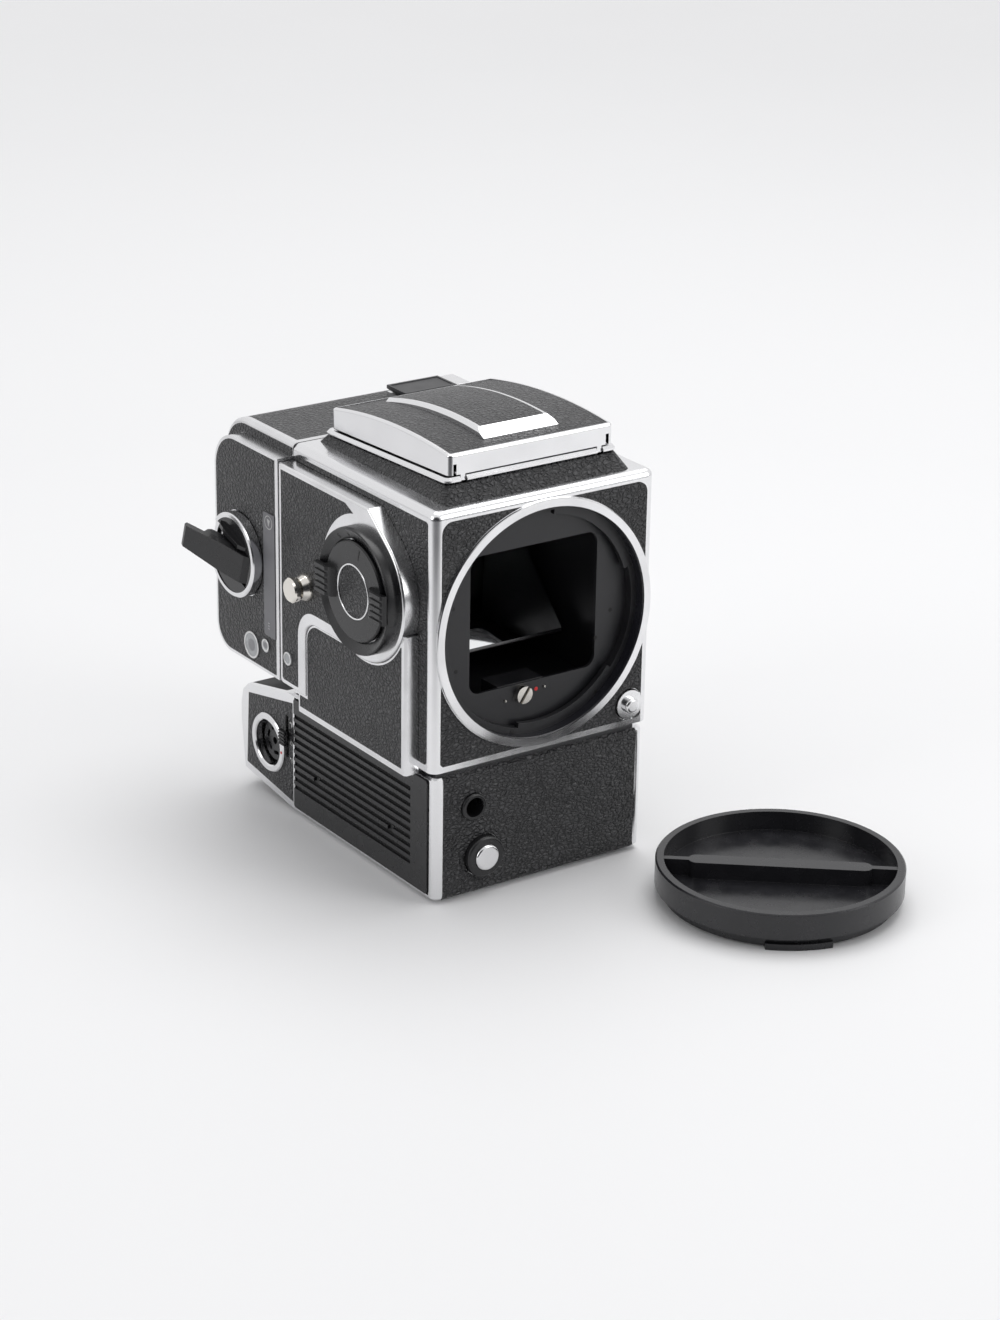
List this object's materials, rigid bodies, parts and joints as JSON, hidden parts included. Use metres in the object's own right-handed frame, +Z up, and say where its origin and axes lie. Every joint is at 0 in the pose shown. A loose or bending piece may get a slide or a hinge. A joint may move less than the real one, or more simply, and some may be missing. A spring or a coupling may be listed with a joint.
{
  "type": "medium format film camera",
  "caption": "Cube-shaped single-lens reflex camera body without lens: motor base, film magazine with crank, folded waist-level hood, open lens mount, loose round body cap.",
  "frame": {"origin": "centre of the lens mount on its flange plane, the front of the bright ring", "axes": "-Y the way the lens side faces, +Z up, +X to the right seen from the front; the mode dial and the film crank are on the -X side"},
  "size_m": [0.1628, 0.2253, 0.1549],
  "materials": {
    "bright_casting": "light-alloy castings, satin to polished bright",
    "chrome": "satin to polished",
    "nickel": "bright nickel, polished",
    "leather": "black grained leatherette",
    "black_plastic": "moulded, fine satin texture",
    "black_metal": "matt black paint",
    "cap_plastic": "semi-gloss moulded",
    "mirror": "front-silvered",
    "optical_glass": "clear, the screen finely ground",
    "window": "smoky clear window over a pale disc",
    "gear_steel": "machined",
    "gear_brass": "machined",
    "motor_steel": "plain drawn can",
    "battery": null,
    "rubber": "matt",
    "film_paper": "backing paper on a plastic spool"
  },
  "bodies": {
    "camera": {"accessory_rail": "black_metal", "base_feet": "rubber", "base_leather": "leather", "base_shell": "bright_casting", "base_spacer": "black_metal", "bayonet_ring": "black_metal", "body_leather": "leather", "body_shell": "bright_casting", "dial_ring": "black_plastic", "drive_motor": "motor_steel", "focusing_screen": "optical_glass", "front_baffle": "black_metal", "gear_case": "bright_casting", "hood_frame": "bright_casting", "lens_mount_ring": "chrome", "mirror_box": "black_metal", "round_socket": "chrome", "signal_window": "window", "socket_inserts": "black_plastic", "strap_studs": "nickel", "tripod_bush": "gear_steel", "winder_leather": "leather", "winder_plate": "bright_casting"},
    "battery_pack": {"battery_cover": "black_plastic", "battery_cassette": "black_plastic", "battery_cells": "battery"},
    "front_release": {"front_release_button": "chrome"},
    "selector": {"selector_lever": "black_plastic"},
    "lens_lock": {"lens_release_button": "chrome"},
    "winding_gear": {"winding_gear": "gear_steel"},
    "idler": {"idler_gear": "gear_brass"},
    "pinion": {"drive_pinion": "gear_steel"},
    "lens_drive": {"lens_drive_shaft": "nickel"},
    "mode_knob": {"selector_knob": "black_plastic", "knob_trim": "chrome"},
    "mirror": {"mirror_frame": "black_metal", "mirror_glass": "mirror"},
    "upper_flap": {"upper_shutter_flap": "black_metal"},
    "lower_flap": {"lower_shutter_flap": "black_metal"},
    "hood_lid": {"hood_lid": "bright_casting", "hood_lid_leather": "leather"},
    "magnifier": {"magnifier_frame": "black_metal", "magnifier_lens": "optical_glass"},
    "left_panel": {"hood_side_panel_left": "black_metal"},
    "right_panel": {"hood_side_panel_right": "black_metal"},
    "rear_panel": {"hood_rear_panel": "black_metal"},
    "magazine": {"magazine_shell": "bright_casting", "magazine_leather": "leather", "magazine_windows": "window"},
    "crank": {"crank_hub": "black_plastic", "crank_rim": "chrome"},
    "crank_handle": {"crank_handle": "black_plastic"},
    "catch": {"magazine_catch": "black_metal"},
    "dark_slide": {"dark_slide": "chrome"},
    "insert": {"insert_frame": "bright_casting"},
    "takeup": {"takeup_spool": "black_plastic"},
    "supply": {"supply_roll": "film_paper"},
    "insert_key": {"insert_key": "black_metal"},
    "cap": {"body_cap": "cap_plastic"}
  },
  "joints": [
    {"name": "battery_pack_out", "type": "slide", "parent": "camera", "child": "battery_pack", "axis": [-1, 0, 0], "range_m": [0, 0.058]},
    {"name": "front_release_press", "type": "slide", "parent": "camera", "child": "front_release", "axis": [0, 1, 0], "range_m": [0, 0.0025], "stiffness_N_per_m": 300, "springref_m": -0.0008},
    {"name": "selector_lever_slide", "type": "slide", "parent": "camera", "child": "selector", "axis": [0, 0, 1], "range_m": [-0.006, 0.006]},
    {"name": "lens_lock_press", "type": "slide", "parent": "camera", "child": "lens_lock", "axis": [0, 1, 0], "range_m": [0, 0.002], "stiffness_N_per_m": 300, "springref_m": -0.0008},
    {"name": "winding_gear_spin", "type": "hinge", "parent": "camera", "child": "winding_gear", "pos_m": [-0.0456, 0.033, 0.0111], "axis": [1, 0, 0], "continuous": true},
    {"name": "idler_spin", "type": "hinge", "parent": "camera", "child": "idler", "pos_m": [-0.0456, 0.03856, -0.02041], "axis": [1, 0, 0], "continuous": true},
    {"name": "pinion_spin", "type": "hinge", "parent": "camera", "child": "pinion", "pos_m": [-0.0456, 0.05341, -0.03526], "axis": [1, 0, 0], "continuous": true},
    {"name": "lens_drive_spin", "type": "hinge", "parent": "camera", "child": "lens_drive", "pos_m": [-0.0043, 0.01, -0.0259], "axis": [0, 1, 0], "continuous": true},
    {"name": "mode_knob_turn", "type": "hinge", "parent": "camera", "child": "mode_knob", "pos_m": [-0.052, 0.033, 0.0111], "axis": [-1, 0, 0], "range_deg": [-60, 60]},
    {"name": "mirror_swing", "type": "hinge", "parent": "camera", "child": "mirror", "pos_m": [0, 0.078, 0.03], "axis": [-1, 0, 0], "range_deg": [0, 45]},
    {"name": "upper_flap_swing", "type": "hinge", "parent": "camera", "child": "upper_flap", "pos_m": [0, 0.082, 0.0285], "axis": [-1, 0, 0], "range_deg": [0, 90]},
    {"name": "lower_flap_swing", "type": "hinge", "parent": "camera", "child": "lower_flap", "pos_m": [0, 0.082, -0.0285], "axis": [1, 0, 0], "range_deg": [0, 90]},
    {"name": "hood_lid_swing", "type": "hinge", "parent": "camera", "child": "hood_lid", "pos_m": [0, 0.0107, 0.051], "axis": [1, 0, 0], "range_deg": [0, 90]},
    {"name": "magnifier_swing", "type": "hinge", "parent": "hood_lid", "child": "magnifier", "pos_m": [0, 0.0724, 0.0546], "axis": [1, 0, 0], "range_deg": [0, 90]},
    {"name": "left_panel_swing", "type": "hinge", "parent": "camera", "child": "left_panel", "pos_m": [-0.0294, 0.04, 0.0524], "axis": [0, -1, 0], "range_deg": [0, 90]},
    {"name": "right_panel_swing", "type": "hinge", "parent": "camera", "child": "right_panel", "pos_m": [0.0294, 0.04, 0.0524], "axis": [0, 1, 0], "range_deg": [0, 90]},
    {"name": "rear_panel_swing", "type": "hinge", "parent": "camera", "child": "rear_panel", "pos_m": [0, 0.0766, 0.051], "axis": [-1, 0, 0], "range_deg": [0, 90]},
    {"name": "magazine_off", "type": "slide", "parent": "camera", "child": "magazine", "axis": [0, 1, 0], "range_m": [0, 0.06]},
    {"name": "film_crank_spin", "type": "hinge", "parent": "magazine", "child": "crank", "pos_m": [-0.05, 0.11, 0], "axis": [1, 0, 0], "continuous": true},
    {"name": "crank_handle_fold", "type": "hinge", "parent": "crank", "child": "crank_handle", "pos_m": [-0.051, 0.10239, -0.00247], "axis": [0, -0.309, 0.9511], "range_deg": [-22, 60]},
    {"name": "magazine_catch_slide", "type": "slide", "parent": "magazine", "child": "catch", "axis": [-1, 0, 0], "range_m": [0, 0.005]},
    {"name": "dark_slide_pull", "type": "slide", "parent": "magazine", "child": "dark_slide", "axis": [1, 0, 0], "range_m": [0, 0.08]},
    {"name": "film_insert_pull", "type": "slide", "parent": "magazine", "child": "insert", "axis": [1, 0, 0], "range_m": [0, 0.09]},
    {"name": "takeup_spool_spin", "type": "hinge", "parent": "insert", "child": "takeup", "pos_m": [0, 0.1125, 0.022], "axis": [1, 0, 0], "continuous": true},
    {"name": "supply_roll_spin", "type": "hinge", "parent": "insert", "child": "supply", "pos_m": [0, 0.1125, -0.022], "axis": [1, 0, 0], "continuous": true},
    {"name": "insert_key_turn", "type": "hinge", "parent": "insert", "child": "insert_key", "pos_m": [0.047, 0.1091, 0], "axis": [1, 0, 0], "range_deg": [0, 90]},
    {"name": "cap_lift", "type": "slide", "parent": "camera", "child": "cap", "axis": [0, 0, 1], "range_m": [0, 0.04]}
  ],
  "couplings": [
    {"joint": "idler_spin", "follows": "winding_gear_spin", "ratio": -1.1333},
    {"joint": "pinion_spin", "follows": "winding_gear_spin", "ratio": 2.8333},
    {"joint": "lens_drive_spin", "follows": "winding_gear_spin", "ratio": 1},
    {"joint": "upper_flap_swing", "follows": "mirror_swing", "ratio": 2},
    {"joint": "lower_flap_swing", "follows": "mirror_swing", "ratio": 2},
    {"joint": "magnifier_swing", "follows": "hood_lid_swing", "ratio": 1},
    {"joint": "left_panel_swing", "follows": "hood_lid_swing", "ratio": 1},
    {"joint": "right_panel_swing", "follows": "hood_lid_swing", "ratio": 1},
    {"joint": "rear_panel_swing", "follows": "hood_lid_swing", "ratio": 1},
    {"joint": "takeup_spool_spin", "follows": "film_crank_spin", "ratio": 1},
    {"joint": "supply_roll_spin", "follows": "film_crank_spin", "ratio": 1}
  ]
}
